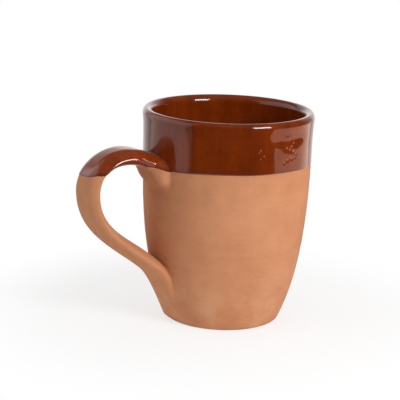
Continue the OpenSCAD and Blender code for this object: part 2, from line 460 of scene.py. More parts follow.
# %% Lay the coat over the lip
BAND_ROWS = 104
BAND_EASE = 0.4
LIP_CALM = CREST_LENGTH + np.array([-6, -2])
LINING_ROWS = 110
LINING_CROWD = 1.35
INNER_WAVES = (1, 29, 2, 9.0)
INNER_WAVE_FADE = CREST_LENGTH + np.array([3, 12])
INNER_THIN_FADE = CREST_LENGTH + np.array([2, 6])
share = eased(np.linspace(0, 1, BAND_ROWS)[:, None], BAND_EASE)
band_start = length_at(dip_line(coat_turns))
band_rows = band_start + share * (CREST_LENGTH - band_start)
band_heights = on_outline(OUTLINE[:, 1], band_rows)
lip_share = gathered(band_rows, *LIP_CALM)
outer_lift = (1 - lip_share) * band_lift(coat_turns, band_heights, band_rows - band_start) + lip_share * GLAZE
inner_share = np.linspace(0, 1, LINING_ROWS + 1)[1:-1, None] ** LINING_CROWD
inner_rows = CREST_LENGTH + (LENGTH[-1] - CREST_LENGTH) * inner_share
inner_uneven = waves(coat_turns, inner_rows, *INNER_WAVES) * gathered(inner_rows, *INNER_WAVE_FADE)
inner_lift = GLAZE + COAT_SPARE * (inner_uneven - 1) * gathered(inner_rows, *INNER_THIN_FADE)
coat_rows = np.concatenate([band_rows, np.broadcast_to(inner_rows, (len(inner_rows), COAT_COLUMNS))])
coat_grid = turned(coat_rows, coat_turns, np.concatenate([outer_lift, inner_lift]))
coat_facing = facing_of(coat_grid)
print(f"coat of {coat_grid.shape[0]} rows and {coat_grid.shape[1]} columns")

# %% Part the coat into band and lining
HIDDEN_ROWS = 12
BACK_INSET = 0.2
FAR_FROM_EDGE = 30.0
part = np.linspace(1, 0, HIDDEN_ROWS)[:, None]
band_back_rows = band_start + BACK_INSET + part * (CREST_LENGTH - band_start - BACK_INSET)
band_back = turned(band_back_rows, coat_turns, -SUNK)
band_edge = np.concatenate([band_rows, band_back_rows]) - band_start
band_pits = np.concatenate([pinholes(coat_turns, band_heights), np.zeros(band_back.shape[:2])])
glaze_band = skin("glaze_band_dipped", [(coat_grid[:BAND_ROWS], coat_facing[:BAND_ROWS]),
                                        (band_back, facing_of(band_back))], edge=band_edge, pits=band_pits)
lining_back_rows = LENGTH[-1] + part[:-1][::-1] * (CREST_LENGTH - LENGTH[-1])
lining_back = turned(lining_back_rows, coat_turns, -SUNK)
lining_front = coat_grid[BAND_ROWS - 1:]
lining_shape = (len(lining_back) + len(lining_front), COAT_COLUMNS)
glaze_lining = skin("glaze_lining_poured", [(lining_back, facing_of(lining_back)),
                                            (lining_front, coat_facing[BAND_ROWS - 1:])],
                    [(0, 0, FLOOR - SUNK), (0, 0, FLOOR + GLAZE - COAT_SPARE)],
                    edge=np.full(lining_shape, FAR_FROM_EDGE), pits=np.zeros(lining_shape))

# %% [markdown]
# ## The pulled strap
#
# The handle is a strap of clay that is pulled wet, pressed on below the rim, bent over and smeared down at
# the foot. Its middle line is four cubic curves through five stations: upper joint, crown, back, knee and
# tail. A bevelled curve object has one section only. This one has its own depths, width and squareness at
# each station, so the sweep is worked out on a grid. It is splayed at the upper joint, domed over the arch,
# thinner after the crown, and round at the tail's end.

# %% Sweep the strap
PAD_DROP = 26.6
PAD_HEIGHT = CLAY_HEIGHT - PAD_DROP
PAD_SUNK = 5.0
PAD_RISE = 30.0
CROWN_REACH = 14.8
CROWN_DROP = 18.4
CROWN = np.array([SHOULDER_RADIUS + CROWN_REACH, CLAY_HEIGHT - CROWN_DROP])
BACK_THICKNESS = 6.2
BACK_DROP = 33.7
REACH_SPARE = 0.95
BACK = np.array([HANDLE_REACH - REACH_SPARE - BACK_THICKNESS / 2, CLAY_HEIGHT - BACK_DROP])
KNEE_HEIGHT = 32.6
KNEE_REACH = 8.2
KNEE_FALL = 37.0
TAIL_HEIGHT = 1.25
TAIL_SUNK = 4.6
ARCH_PULL = 0.38
CORNER_PULL = 0.52
BACK_PULL = 0.41
KNEE_PULL_IN = 0.35
KNEE_PULL_OUT = 0.24
TAIL_PULL = 0.72
FLARE = (0.05, 0.65)
SPLAY = (0.14, 0.45)
CAP_START = 3.955
CORNER_THIN = 1.2
FAR_DROOP = 0.4
# Each row has a size for the upper joint, the crown, the back, the knee and the tail
HALF_OUT = np.array([5.0, 3.85, 3.55, 4.1, 5.2])
HALF_IN = np.array([7.9, 3.4, 3.1, 4.1, 3.9])
HALF_ACROSS = np.array([12.4, 9.3, 10.0, 12.8, 10.5])
SIDE_SHIFT = np.array([-1.2, 0.0, 0.0, -0.4, 0.5])
SQUARE_ACROSS = np.array([4.0, 4.0, 4.5, 2.1, 2.0])
SQUARE_OUT = np.array([2.4, 1.15, 1.2, 1.8, 2.0])
EDGE_INWARD = np.array([0.0, 0.2, 0.2, 0.4, 0.0])
PAD_DROOP = np.array([0.9, 0.0, 0.0, 0.0, 0.0])


def strap_curves():
    """The four cubic curves of the strap's middle line, each four points of radius and height."""
    pad = np.array([wall_radius(PAD_HEIGHT) - PAD_SUNK, PAD_HEIGHT])
    knee = np.array([wall_radius(KNEE_HEIGHT) + KNEE_REACH, KNEE_HEIGHT])
    tail = np.array([wall_radius(TAIL_HEIGHT) - TAIL_SUNK, TAIL_HEIGHT])
    pad_way = leaning(90 - PAD_RISE)
    knee_way = -leaning(90 - KNEE_FALL)
    step = FOOT_EDGE / 2
    tail_way = unit(np.array([wall_radius(TAIL_HEIGHT) - wall_radius(TAIL_HEIGHT + step), -step]))
    arch = ARCH_PULL * np.linalg.norm(CROWN - pad)
    drop = np.linalg.norm(knee - BACK)
    fall = np.linalg.norm(tail - knee)
    turn = CORNER_PULL * np.abs(BACK - CROWN)
    return np.array([
        (pad, pad + arch * pad_way, CROWN - (arch, 0), CROWN),
        (CROWN, CROWN + (turn[0], 0), BACK + (0, turn[1]), BACK),
        (BACK, BACK - (0, BACK_PULL * drop), knee - KNEE_PULL_IN * drop * knee_way, knee),
        (knee, knee + KNEE_PULL_OUT * fall * knee_way, tail - TAIL_PULL * fall * tail_way, tail),
    ])


STRAP = strap_curves()


def between(sizes, station, held=FLARE):
    """A size between stations: a smooth step, which after the upper joint runs only over the held shares."""
    lower = np.clip(np.floor(station).astype(int), 0, len(sizes) - 2)
    f = station - lower
    step = np.where(lower == 0, gathered(f, *held), f * f * (3 - 2 * f))
    return sizes[lower] + (sizes[lower + 1] - sizes[lower]) * step


def squared(value, power):
    """A sine or cosine with its sign kept and its size raised to 2/power, which squares a circle."""
    return np.sign(value) * np.abs(value) ** (2 / power)


def strap(station, turn, lift=0.0):
    """A point of the strap: the middle at a station, then a squared ellipse round it, grown by the lift.

    The ellipse has its own depth outwards and inwards, its widest line lies a little inwards, and it may be
    shifted sideways. It is thinned after the crown, droops at the pad's sides, and ends in a round cap.
    """
    station, turn = np.broadcast_arrays(station, turn)
    lower = np.clip(np.floor(station).astype(int), 0, len(STRAP) - 1)
    a, b, c, d = (STRAP[lower, corner] for corner in range(4))
    middle = bezier((a, b, c, d), station - lower)
    way = unit(quadratic(b - a, c - b, d - c, station - lower))
    bow = squared(np.cos(turn), between(SQUARE_OUT, station))
    reach = squared(np.sin(turn), between(SQUARE_ACROSS, station))
    inward = between(EDGE_INWARD, station)
    inside = between(HALF_IN, station) - CORNER_THIN * np.sin(np.pi * np.clip(station - 1, 0, 1)) ** 2
    depth = np.where(bow > 0, between(HALF_OUT, station) + inward, inside - inward) + lift
    droop = between(PAD_DROOP, station, SPLAY) * np.where(reach < 0, reach**2, FAR_DROOP * reach**2)
    cap = np.sqrt(1 - np.clip((station - CAP_START) / (len(STRAP) - CAP_START), 0, 1) ** 2)
    offset = bow * depth * cap - inward - droop
    middle = middle + np.stack([-way[..., 1], way[..., 0]], -1) * offset[..., None]
    side = (between(HALF_ACROSS, station, SPLAY) + lift) * reach * cap + between(SIDE_SHIFT, station, SPLAY)
    return np.stack([-middle[..., 0], side, middle[..., 1]], -1)


print("stations of the strap:", *np.round([*STRAP[:, 0], STRAP[-1, -1]], 1).tolist())

# %% Find where the strap leaves the wall
STRAP_COLUMNS = 160
JOINT_SAMPLES = 700
HIDDEN_DEPTH = 0.3
UPPER = np.linspace(0, 1, JOINT_SAMPLES)
LOWER = np.linspace(len(STRAP), len(STRAP) - 1, JOINT_SAMPLES)
strap_turns = ring_of_turns(STRAP_COLUMNS)


def clear_of_wall(points):
    """How far points are outside the wall: distance from the axis less the wall's radius at their height."""
    return np.hypot(points[..., 0], points[..., 1]) - wall_radius(points[..., 2])


def first_rise(values, samples):
    """Where each column first rises through zero: the sample before it, plus its share of the step after."""
    after = np.maximum(np.argmax(values > 0, axis=0), 1)
    column = np.arange(values.shape[1])
    low = values[after - 1, column]
    high = values[after, column]
    return samples[after - 1] + low / (low - high) * (samples[after] - samples[after - 1])


def leaves_wall(samples, depth=0.0):
    """Station at which each line along the strap comes out of the wall, or is a depth short of it."""
    return first_rise(clear_of_wall(strap(samples[:, None], strap_turns[None, :])) + depth, samples)


upper_out = leaves_wall(UPPER)
lower_out = leaves_wall(LOWER)
print(f"the strap leaves the wall at stations {upper_out.min():.2f} to {upper_out.max():.2f} "
      f"and goes back in at {lower_out.min():.2f} to {lower_out.max():.2f}")

# %% Pull the handle
HANDLE_ROWS = 320
SMALL_STEP = 1e-3
RIDGES = (0.04, 41, 9, 2.4, 8)
PULLS = (1, 43, 2, 1.7)
PULL_DEPTH = 0.14
CALM_UPPER = (0.25, 0.6)
CALM_LOWER = (0.4, 0.9)
STRAP_GRAIN_ROUND = 9
STRAP_GRAIN_ALONG = 3.0


def facing_at(surface, ways):
    """Unit normals of a surface at ways along its lines: a step to the next line, crossed with one along it.

    Both steps start from the same way, so the lines may have different ways in one row of a grid.
    """
    after = np.roll(surface(np.roll(ways, 1, axis=1)), -1, axis=1)
    before = np.roll(surface(np.roll(ways, -1, axis=1)), 1, axis=1)
    return unit(np.cross(after - before, surface(ways + SMALL_STEP) - surface(ways - SMALL_STEP)))


def pulled_lift(station, turn):
    """Faint ridges along the strap that drift slowly round it, with a slow unevenness of its thickness."""
    ridges = waves(turn, station, *RIDGES)
    uneven = waves(turn, station, *PULLS)
    calm = gathered(station, *CALM_UPPER) * gathered(len(STRAP) - station, *CALM_LOWER)
    return calm * (ridges + PULL_DEPTH * (uneven - 1))


def pulled_strap(station):
    """The strap's surface at stations of its lines, with its ridges and its unevenness."""
    return strap(station, strap_turns, pulled_lift(station, strap_turns))


handle_share = np.linspace(0, 1, HANDLE_ROWS)[:, None]
handle_start = leaves_wall(UPPER, HIDDEN_DEPTH)
handle_end = leaves_wall(LOWER, HIDDEN_DEPTH)
handle_stations = handle_start + handle_share * (handle_end - handle_start)
handle_grid = pulled_strap(handle_stations)
handle_grain = round_axis(STRAP_GRAIN_ROUND, strap_turns, STRAP_GRAIN_ALONG * handle_stations)
handle = skin("handle_pulled", [(handle_grid, facing_at(pulled_strap, handle_stations))],
              [handle_grid[0].mean(axis=0), handle_grid[-1].mean(axis=0)], grain=handle_grain)

# %% [markdown]
# ## The slip at the joints
#
# Wet slip glues the strap to the wall, and what squeezes out is smoothed into a small hollow fillet. A
# Boolean and a bevel would be fragile on such a shallow crossing. Instead, each line along the strap knows
# where it meets the wall. A curve with its pull there joins a point up the strap to one out along the wall.
# A ring of those curves is the fillet, and it closes inside the clay.

# %% Smooth the slip round both joints
FILLET_ROWS = 14
FLOOR_CLEAR = 0.15
WALL_BITE = 0.02
SLOPE_STEP = 0.5
CORE_DEPTH = 1.0
CORE_SUNK = 0.5
# Each fillet's width under the strap, at its sides and over it
UPPER_FILLET = (3.0, 1.1, 1.0)
LOWER_FILLET = (1.2, 1.5, 0.6)


def around_joint(under, side, over):
    """A width for each line of the strap, from its values under the strap, at its sides and over it."""
    lean = np.cos(strap_turns)
    return side + np.where(lean < 0, under - side, over - side) * lean**2


def fillet(samples, meeting, width):
    """The fillet's rows from the wall to the strap, its ends as stations on the strap, and a row in the clay.

    The start lies on the wall, a width from the meeting point and square to the joint's line, but off the
    floor. The end lies on the strap, as far along it. A curve with its pull at the meeting point joins them.
    """
    lines = strap(samples[:, None], strap_turns[None, :])
    steps = np.linalg.norm(np.diff(lines, axis=0), axis=-1)
    run = np.concatenate([np.zeros((1, STRAP_COLUMNS)), np.cumsum(steps, axis=0)])
    order = np.argsort(samples)
    place = np.interp(meeting, samples[order], order)
    base = run[place.astype(int), np.arange(STRAP_COLUMNS)]
    end = first_rise(run - base - width, samples)
    touch = strap(meeting, strap_turns)
    along = np.roll(touch, -1, axis=0) - np.roll(touch, 1, axis=0)
    slope = (wall_radius(touch[:, 2] + SLOPE_STEP) - wall_radius(touch[:, 2] - SLOPE_STEP))[:, None]
    wall_way = np.concatenate([unit(touch[:, :2]), -slope], axis=1)
    out = unit(np.cross(wall_way, along))
    out = out * np.sign(np.einsum("ij,ij->i", out, touch - touch.mean(axis=0)).sum())
    start = touch + width[:, None] * out
    start[:, 2] = np.maximum(start[:, 2], FLOOR_CLEAR)
    radius = wall_radius(start[:, 2]) - WALL_BITE
    start[:, :2] = unit(start[:, :2]) * radius[:, None]
    rows = quadratic(start, touch, strap(end, strap_turns), np.linspace(0, 1, FILLET_ROWS)[:, None])
    core = strap(meeting, strap_turns, -CORE_DEPTH) - CORE_SUNK * wall_way
    return rows, end, core


def slip_ring(name, rows, core):
    """The fillet's rows, closed by one row inside the clay."""
    grid = np.concatenate([rows, core[None]])
    inward = -facing_of(rows)[:1]
    return skin(name, [(rows, facing_of(rows)), (core[None], inward)],
                grain=round_axis(GRAIN_ROUND, strap_turns, grid[..., 2]))


upper_rows, upper_end, upper_core = fillet(UPPER, upper_out, around_joint(*UPPER_FILLET))
lower_rows, _, lower_core = fillet(LOWER, lower_out, around_joint(*LOWER_FILLET))
upper_slip = slip_ring("upper_joint_slip_smoothed", upper_rows, upper_core)
lower_slip = slip_ring("lower_joint_slip_smoothed", lower_rows, lower_core)

# %% [markdown]
# ## The glaze on the arch
#
# The dip took the arch of the handle with it. The coat there lies on the fillet and the strap wherever they
# are above the dip line. Cutting a mesh at a height would leave a ragged edge. Here each line along the
# strap starts where it rises above the dip line and ends where it falls below it, so the edge is a row of
# the grid and the coat can swell from it. The rows are placed by the distance along each line, closer
# together at both ends.

# %% Dip the arch
ARCH_DIP = (75.3, 74.7)
UNDER_RISE = 2.0
UNDER_TURN = (-0.6, 0.7)
PAD_CLEAR = (36.5, 41.5)
OVER_FALL = 2.4
OVER_TURN = (-0.75, 0.5)
ARCH_SAMPLES = 900
ARCH_ROWS = 150
ARCH_EASE = 0.5
ARCH_END = 2.2
ARCH_EDGE = 0.8
ARCH_SPARE = 0.04
WALL_SHARE = 0.6
WALL_RAMP = (0, 0.6)
UNDER_STRIDE = 12
UNDER_EDGE = 5.0


def arch_dip(points):
    """Height of the dip line at points of the arch.

    It sinks slightly from the wall to the back, is higher under the arch next to the wall, and is lower on
    the back's side away from the camera.
    """
    out = gathered(-points[..., 0], SHOULDER_RADIUS, HANDLE_REACH)
    clear = gathered(-points[..., 0], *PAD_CLEAR)
    under = gathered(-np.cos(strap_turns), *UNDER_TURN) * (1 - out) * clear
    over = gathered(np.sin(strap_turns), *OVER_TURN) * out
    return ARCH_DIP[0] + (ARCH_DIP[1] - ARCH_DIP[0]) * out + UNDER_RISE * under - OVER_FALL * over


def above_dip(points):
    """How far points of the arch are above the dip line."""
    return points[..., 2] - arch_dip(points)


def arch_surface(way):
    """The fillet's rows for ways from 0 to 1, then the strap from the fillet's end past the back, to 2."""
    touch = strap(upper_out, strap_turns)
    on_fillet = quadratic(upper_rows[0], touch, upper_rows[-1], np.clip(way, 0, 1))
    station = upper_end + np.clip(way - 1, 0, 1) * (ARCH_END - upper_end)
    return np.where(way[..., None] < 1, on_fillet, pulled_strap(station))


def arch_coat(way):
    """The glaze's surface: the arch, moved out along its facing by a thickness that swells from its edge.

    It is thinner next to the wall, on the fillet.
    """
    base = arch_surface(way)
    swell = edge_swell(np.maximum(above_dip(base), 0), ARCH_EDGE)
    thick = (GLAZE - ARCH_SPARE) * swell * (WALL_SHARE + (1 - WALL_SHARE) * gathered(way, *WALL_RAMP))
    return base + facing_at(arch_surface, way) * thick[..., None]


def spread_ways(run, start, stop):
    """Ways along one line from its start to its stop, placed by the distance run along it."""
    first, last = np.interp([start, stop], ways, run)
    return np.interp(first + arch_share * (last - first), run, ways)


ways = np.linspace(0, 2, ARCH_SAMPLES)
arch_lines = arch_surface(np.broadcast_to(ways[:, None], (ARCH_SAMPLES, STRAP_COLUMNS)))
arch_above = above_dip(arch_lines)
arch_start = np.where(arch_above[0] > 0, 0, first_rise(arch_above, ways))
arch_stop = first_rise(arch_above[::-1], ways[::-1])
arch_share = eased(np.linspace(0, 1, ARCH_ROWS), ARCH_EASE)
arch_run = np.linalg.norm(np.diff(arch_lines, axis=0, prepend=arch_lines[:1]), axis=-1).cumsum(axis=0)
arch_ways = np.stack([spread_ways(*line) for line in zip(arch_run.T, arch_start, arch_stop)], axis=1)
arch_base = arch_surface(arch_ways)
arch_height = np.maximum(above_dip(arch_base), 0)
arch_under = (arch_base - facing_at(arch_surface, arch_ways) * SUNK)[::-UNDER_STRIDE]
handle_glaze = skin("handle_glaze_dipped", [(arch_coat(arch_ways), facing_at(arch_coat, arch_ways)),
                                            (arch_under, facing_of(arch_under))],
                    edge=np.concatenate([arch_height, np.full(arch_under.shape[:2], UNDER_EDGE)]),
                    pits=np.zeros((ARCH_ROWS + len(arch_under), STRAP_COLUMNS)))

# %% [markdown]
# ## Finishes as expressions
#
# A finish is a small calculation on every point of a surface. Drawn by hand, it is a web of nodes. Written
# out, it is easier to read: a wire stands for a socket, and Python's operators on wires add Math nodes.

# %% Wrap sockets in wires
NOISE_MIDDLE = 0.5


class Wire:
    """A socket that Python's operators work on. Each operator adds one Math node."""

    def __init__(self, socket):
        self.socket = socket

    @classmethod
    def node(cls, tree, kind, settings=None, inputs=None, output=0):
        """Adds a node. Its settings are set first, then its inputs get their values or wires."""
        made = tree.nodes.new("ShaderNode" + kind)
        for name, value in (settings or {}).items():
            setattr(made, name, value)
        for name, value in (inputs or {}).items():
            socket = next(each for each in made.inputs if name in (each.identifier, each.name))
            if isinstance(value, Wire):
                tree.links.new(value.socket, socket)
            else:
                socket.default_value = value
        places = enumerate(made.outputs)
        return cls(next(each for place, each in places if output in (place, each.identifier)))

    def math(self, operation, first, second):
        return Wire.node(self.socket.id_data, "Math", {"operation": operation},
                         {"Value": first, "Value_001": second})

    def __add__(self, other):
        return self.math("ADD", self, other)

    def __sub__(self, other):
        return self.math("SUBTRACT", self, other)

    def __rsub__(self, other):
        return self.math("SUBTRACT", other, self)

    def __mul__(self, other):
        return self.math("MULTIPLY", self, other)

    __radd__ = __add__
    __rmul__ = __mul__

    def step(self, low, high):
        """A smooth step from 0 at low to 1 at high."""
        return Wire.node(self.socket.id_data, "MapRange", {"interpolation_type": "SMOOTHSTEP"},
                         {"Value": self, "From Min": low, "From Max": high})

    def times(self, *factors):
        """A vector stretched by a factor along each axis."""
        return Wire.node(self.socket.id_data, "VectorMath", {"operation": "MULTIPLY"},
                         {"Vector": self, "Vector_001": factors})

    def mixed(self, first, second):
        """A colour between two, with this wire as the share of the second."""
        sides = {"A_Color": first, "B_Color": second}
        sides = {name: side if isinstance(side, Wire) else (*side, 1) for name, side in sides.items()}
        return Wire.node(self.socket.id_data, "Mix", {"data_type": "RGBA"}, {"Factor_Float": self, **sides},
                         "Result_Color")

    def noise(self, scale, detail, roughness):
        """Cloudy noise from 0 to 1 at this place, with a number of clouds to the unit."""
        return Wire.node(self.socket.id_data, "TexNoise", None,
                         {"Vector": self, "Scale": scale, "Detail": detail, "Roughness": roughness})


def new_finish(name):
    """A material with a Principled surface. Gives the material, its node tree and the surface's node."""
    finish = bpy.data.materials.new(name)
    finish.use_nodes = True
    surface = next(each for each in finish.node_tree.nodes if each.type == "BSDF_PRINCIPLED")
    return finish, finish.node_tree, surface


def join(surface, **wires):
    """Links wires to the surface's sockets, whose names have underscores for spaces here."""
    for name, wire in wires.items():
        surface.id_data.links.new(wire.socket, surface.inputs[name.replace("_", " ")])


def place_of(tree):
    """Place on the piece in metres, in the frame that all pieces share."""
    return Wire.node(tree, "TexCoord", output="Object")


def kept_value(tree, name, output):
    """A value that was kept at the points of the mesh."""
    return Wire.node(tree, "Attribute", {"attribute_type": "GEOMETRY", "attribute_name": name}, output=output)


def ray_is(tree, kind):
    """1 for rays of a kind, such as those that the camera sends out, and 0 for others."""
    return Wire.node(tree, "LightPath", output=f"Is {kind} Ray")


def varied(weights, wires):
    """The middle of a noise, plus what each wire is above that middle times its weight."""
    total = NOISE_MIDDLE
    for weight, wire in zip(weights, wires):
        total = total + weight * (wire - NOISE_MIDDLE)
    return total


def dress(finish, *pieces):
    """Gives pieces a finish."""
    for piece in pieces:
        piece.data.materials.append(finish)
    print(finish.name, "on", ", ".join(piece.name for piece in pieces))


# %% [markdown]
# ## Bare fired clay
#
# Low-fired red clay is matt and warm, and never one colour: it has soft clouds from the kiln, fine sandy
# grain, a few dark specks, a pale bloom near the foot, and faint lines where fingers or a sponge ran over
# it. The lines follow the making: round the body, and along the strap. They read the grain that was kept at
# the points.

# %% Fire the clay
CLAY_LIGHT = (0.60, 0.272, 0.138)
CLAY_DEEP = (0.47, 0.192, 0.090)
CLAY_PALE = (0.66, 0.37, 0.22)
CLAY_SPECK = (0.22, 0.085, 0.045)
# Noises, here and later: clouds to the unit, detail and roughness
CLAY_CLOUDS = (34, 3, 0.55)
CLAY_PATCHES = (130, 3, 0.6)
CLAY_SAND = (1500, 3, 0.7)
CLAY_LINES = (1.0, 4, 0.65)
LINE_STRETCH = (0.35, 0.35, 1.1)
CLAY_WEIGHTS = (0.85, 0.5, 0.32, 0.45)
BLOOM_CLOUDS = (75, 3, 0.6)
BLOOM_EDGE = (0.42, 0.72)
BLOOM_HEIGHT = (0.004, 0.034)
BLOOM_SHARE = 0.45
SPECK_SCALE = 420.0
SPECK_EDGE = (0.08, 0.20)
RARE_CLOUDS = (230, 1, 0.5)
RARE_EDGE = (0.63, 0.69)
SPECK_SHARE = 0.3
SAND_RELIEF = 0.55
LINE_RELIEF = 0.5
PATCH_RELIEF = 0.25
SPECK_RELIEF = 0.6
CLAY_BUMP = {"Strength": 0.28, "Distance": 0.00025}
CLAY_ROUGHNESS = 0.74
PATCH_ROUGHNESS = 0.2
CLAY_SPECULAR = 0.2
SLIP_WETNESS = 0.02


def clay_finish(name, wetness):
    """Clouds, streaks, specks and grain on a matt surface. Wetness deepens the colour, as slip does."""
    finish, tree, surface = new_finish(name)
    place = place_of(tree)
    clouds = place.noise(*CLAY_CLOUDS)
    patches = place.noise(*CLAY_PATCHES)
    sand = place.noise(*CLAY_SAND)
    lines = kept_value(tree, "grain", "Vector").times(*LINE_STRETCH).noise(*CLAY_LINES)
    shade = varied(CLAY_WEIGHTS, (clouds, patches, lines, sand)) - wetness
    colour = shade.step(0, 1).mixed(CLAY_DEEP, CLAY_LIGHT)
    height = Wire.node(tree, "SeparateXYZ", None, {"Vector": place}, "Z")
    bloom = (1 - height.step(*BLOOM_HEIGHT)) * place.noise(*BLOOM_CLOUDS).step(*BLOOM_EDGE) * BLOOM_SHARE
    colour = bloom.mixed(colour, CLAY_PALE)
    cells = Wire.node(tree, "TexVoronoi", None, {"Vector": place, "Scale": SPECK_SCALE}, "Distance")
    rare = place.noise(*RARE_CLOUDS).step(*RARE_EDGE)
    speck = (1 - cells.step(*SPECK_EDGE)) * rare * SPECK_SHARE
    colour = speck.mixed(colour, CLAY_SPECK)
    relief = SAND_RELIEF * sand + LINE_RELIEF * lines + PATCH_RELIEF * patches - SPECK_RELIEF * speck
    bump = Wire.node(tree, "Bump", None, {**CLAY_BUMP, "Height": relief})
    join(surface, Base_Color=colour, Roughness=CLAY_ROUGHNESS + PATCH_ROUGHNESS * patches, Normal=bump)
    surface.inputs["Specular IOR Level"].default_value = CLAY_SPECULAR
    return finish


dress(clay_finish("bare_clay", 0.0), clay_body, handle)
dress(clay_finish("joint_slip", SLIP_WETNESS), upper_slip, lower_slip)

# %% [markdown]
# ## Honey glaze
#
# The glaze is a clear, glassy coat over red clay, so it looks deep red-brown and mirrors the room. It ran
# down while it was molten, which leaves soft upright streaks, and it is darker where it gathered along its
# edge. Burst bubbles show the paler clay. A gentle swell keeps it from looking machine-made. On the handle
# the glaze is a lighter copy with both browns raised: painted light for the arch, which faces up.

# %% Melt the glaze
GLAZE_DEEP = (0.100, 0.0125, 0.0009)
GLAZE_WARM = (0.200, 0.0290, 0.0026)
GLAZE_EDGE = (0.075, 0.0095, 0.0012)
GLAZE_PIT = (0.36, 0.135, 0.060)
STREAK_STRETCH = (1, 1, 0.16)
GLAZE_STREAKS = (150, 3, 0.6)
GLAZE_MOTTLE = (420, 3, 0.6)
GLAZE_CLOUDS = (45, 2, 0.5)
GLAZE_SWELL = (85, 1, 0.4)
GLAZE_WEIGHTS = (0.9, 0.45, 0.8)
EDGE_FADE = (0.5, 2.0)
EDGE_SHARE = 0.5
PIT_FADE = (0.35, 0.9)
PIT_SHARE = 0.55
MOTTLE_RELIEF = 0.12
GLAZE_BUMP = {"Strength": 0.10, "Distance": 0.0006}
GLAZE_ROUGHNESS = 0.055
MOTTLE_ROUGHNESS = 0.05
GLAZE_IOR = 1.52
# Painted light: the arch's glaze gets browns this much lighter because it faces up
ARCH_PAINTED_LIGHT = 1.4


def glaze_finish(name, light):
    """Upright streaks and mottling between two browns, a darker edge, pale pits, and a mirror finish.

    Light multiplies both browns: above 1 it paints light into the colour and gives a lighter copy of the
    glaze.
    """
    finish, tree, surface = new_finish(name)
    place = place_of(tree)
    streaks = place.times(*STREAK_STRETCH).noise(*GLAZE_STREAKS)
    mottle = place.noise(*GLAZE_MOTTLE)
    clouds = place.noise(*GLAZE_CLOUDS)
    deep, warm = (tuple(light * part for part in brown) for brown in (GLAZE_DEEP, GLAZE_WARM))
    colour = varied(GLAZE_WEIGHTS, (streaks, mottle, clouds)).step(0, 1).mixed(deep, warm)
    near_edge = (1 - kept_value(tree, "edge", "Fac").step(*EDGE_FADE)) * EDGE_SHARE
    colour = near_edge.mixed(colour, GLAZE_EDGE)
    pitted = kept_value(tree, "pits", "Fac").step(*PIT_FADE) * PIT_SHARE
    colour = pitted.mixed(colour, GLAZE_PIT)
    swell = place.noise(*GLAZE_SWELL) + MOTTLE_RELIEF * mottle
    bump = Wire.node(tree, "Bump", None, {**GLAZE_BUMP, "Height": swell})
    join(surface, Base_Color=colour, Roughness=GLAZE_ROUGHNESS + MOTTLE_ROUGHNESS * mottle, Normal=bump)
    surface.inputs["IOR"].default_value = GLAZE_IOR
    return finish


dress(glaze_finish("honey_glaze", 1.0), glaze_band, glaze_lining)
# The arch gets the same glaze with painted light: its browns are lighter because it faces up
dress(glaze_finish("honey_glaze_painted_lighter", ARCH_PAINTED_LIGHT), handle_glaze)

# %% [markdown]
# ## Every skin takes its place
#
# Each skin rides on the one rigid body and stands for one solid of the frame.

# %% Tie the skins to the frame
for piece, node, slot in (
    (clay_body, "clay_body", "clay"),
    (handle, "handle", "clay"),
    (upper_slip, "upper_joint_slip", "slip"),
    (lower_slip, "lower_joint_slip", "slip"),
    (glaze_band, "glaze_band", "glaze"),
    (glaze_lining, "glaze_lining", "glaze"),
    (handle_glaze, "handle_glaze", "glaze"),
):
    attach(piece, "root")
    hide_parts(node)
    print(piece.name, "stands for", node)

# %% [markdown]
# ## The camera
#
# A long lens from a little above, with the handle to the left and slightly towards the camera. The camera's
# axes are worked out from the turn, the rise and the roll, and go straight into its matrix.

# %% Set up the camera
VIEW_TURN = -29.0
VIEW_RISE = 13.8
VIEW_ROLL = 2.08
VIEW_AIM = np.array([-10.42, 5.77, 55.53]) * MM
VIEW_DISTANCE = 702.1 * MM
VIEW_LENS = 133.5
SENSOR = 36.0


def studio_way(turn, rise=0.0):
    """A direction: degrees to the right of the camera's side of the mug, and degrees up."""
    across = math.radians(VIEW_TURN + turn)
    up = math.radians(rise)
    return np.array([math.sin(across) * math.cos(up), -math.cos(across) * math.cos(up), math.sin(up)])


def facing_matrix(place, back, roll=0.0):
    """A matrix for an object at a place whose back axis is given, rolled about it by degrees."""
    level = unit(np.cross([0, 0, 1], back))
    upward = np.cross(back, level)
    tilt = math.radians(roll)
    right = math.cos(tilt) * level + math.sin(tilt) * upward
    over = math.cos(tilt) * upward - math.sin(tilt) * level
    matrix = np.eye(4)
    matrix[:3, :4] = np.stack([right, over, back, place], -1)
    return Matrix(matrix.tolist())


lens = bpy.data.cameras.new("camera")
lens.lens = VIEW_LENS
lens.sensor_width = SENSOR
camera = bpy.data.objects.new("camera", lens)
back = studio_way(0, VIEW_RISE)
camera.matrix_world = facing_matrix(VIEW_AIM + VIEW_DISTANCE * back, back, VIEW_ROLL)
bpy.context.scene.collection.objects.link(camera)
bpy.context.scene.camera = camera
print("camera at", np.round(camera.location, 3))

# %% [markdown]
# ## Floor, room and lamps
#
# The mug stands on a small pale table. A picture of a studio could light it, but a few graded steps are
# easier to steer. The clay gets a light that grows from floor to ceiling. The glaze mirrors a room of its
# own: white behind the mug, bright at the left, dim above and almost black elsewhere. The camera sees plain
# white. A small key lamp in front at the right shapes the clay, two softboxes at the left light its other
# side, a low and warm one at the right reaches round the back, and a weak one behind lights the lip.

